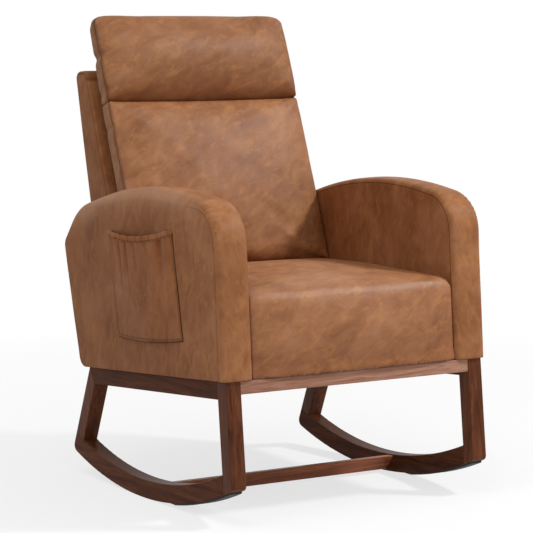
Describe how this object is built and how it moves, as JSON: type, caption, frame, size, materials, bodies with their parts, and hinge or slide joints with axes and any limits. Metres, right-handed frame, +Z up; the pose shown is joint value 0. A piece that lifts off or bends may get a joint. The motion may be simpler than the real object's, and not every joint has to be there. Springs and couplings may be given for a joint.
{
  "type": "rocking armchair",
  "caption": "Upholstered rocking armchair on curved wooden runners, with a reclined back cushion and headrest, rounded arms, a sprung seat and soft pockets on the arms.",
  "frame": {"origin": "middle of the bounding box at floor level, with the empty chair at its rest on the floor", "axes": "+Z up, +Y from the front of the seat to the back, +X to the right of a viewer who faces the chair"},
  "size_m": [0.6942, 0.8104, 1.0428],
  "materials": {
    "dark_wood": "satin stained hardwood",
    "plywood": "raw",
    "leather": "mottled, soft sheen",
    "hem_leather": "gathered, soft sheen",
    "foam": "open-cell foam",
    "felt": "felt",
    "webbing": "woven",
    "dust_cloth": "non-woven",
    "rubber": "matte",
    "spring_steel": "oiled",
    "plated_steel": "zinc plated"
  },
  "bodies": {
    "root": {"arm_board_left": "plywood", "arm_board_right": "plywood", "arm_bolts": "plated_steel", "arm_cover_left": "leather", "arm_cover_right": "leather", "arm_foam_left": "foam", "arm_foam_right": "foam", "arm_inserts": "plated_steel", "back_bolts": "plated_steel", "back_bottom_rail": "plywood", "back_cushion_cover": "leather", "back_cushion_foam": "foam", "back_inserts": "plated_steel", "back_lumbar_rail": "plywood", "back_post_left": "plywood", "back_post_right": "plywood", "back_top_rail": "plywood", "back_webbing": "webbing", "corner_blocks": "plywood", "cushion_spacer": "plywood", "dust_cover": "dust_cloth", "floor_stretcher": "dark_wood", "frame_dowels": "dark_wood", "front_leg_left": "dark_wood", "front_leg_right": "dark_wood", "front_rail": "dark_wood", "headrest_cover": "leather", "headrest_foam": "foam", "pocket_hem_left": "hem_leather", "pocket_hem_right": "hem_leather", "rear_leg_left": "dark_wood", "rear_leg_right": "dark_wood", "rear_rail": "dark_wood", "runner_left": "dark_wood", "runner_pad_left": "rubber", "runner_pad_right": "rubber", "runner_right": "dark_wood", "seat_bolts": "plated_steel", "seat_cover": "leather", "seat_foam": "foam", "seat_front_board": "plywood", "seat_inserts": "plated_steel", "seat_rear_board": "plywood", "seat_side_board_left": "plywood", "seat_side_board_right": "plywood", "seat_springs": "spring_steel", "shell_cover": "leather", "shell_foam": "foam", "side_pocket_left": "leather", "side_pocket_right": "leather", "side_rail_left": "dark_wood", "side_rail_right": "dark_wood", "spring_clips": "spring_steel", "spring_pad": "felt"}
  },
  "joints": []
}
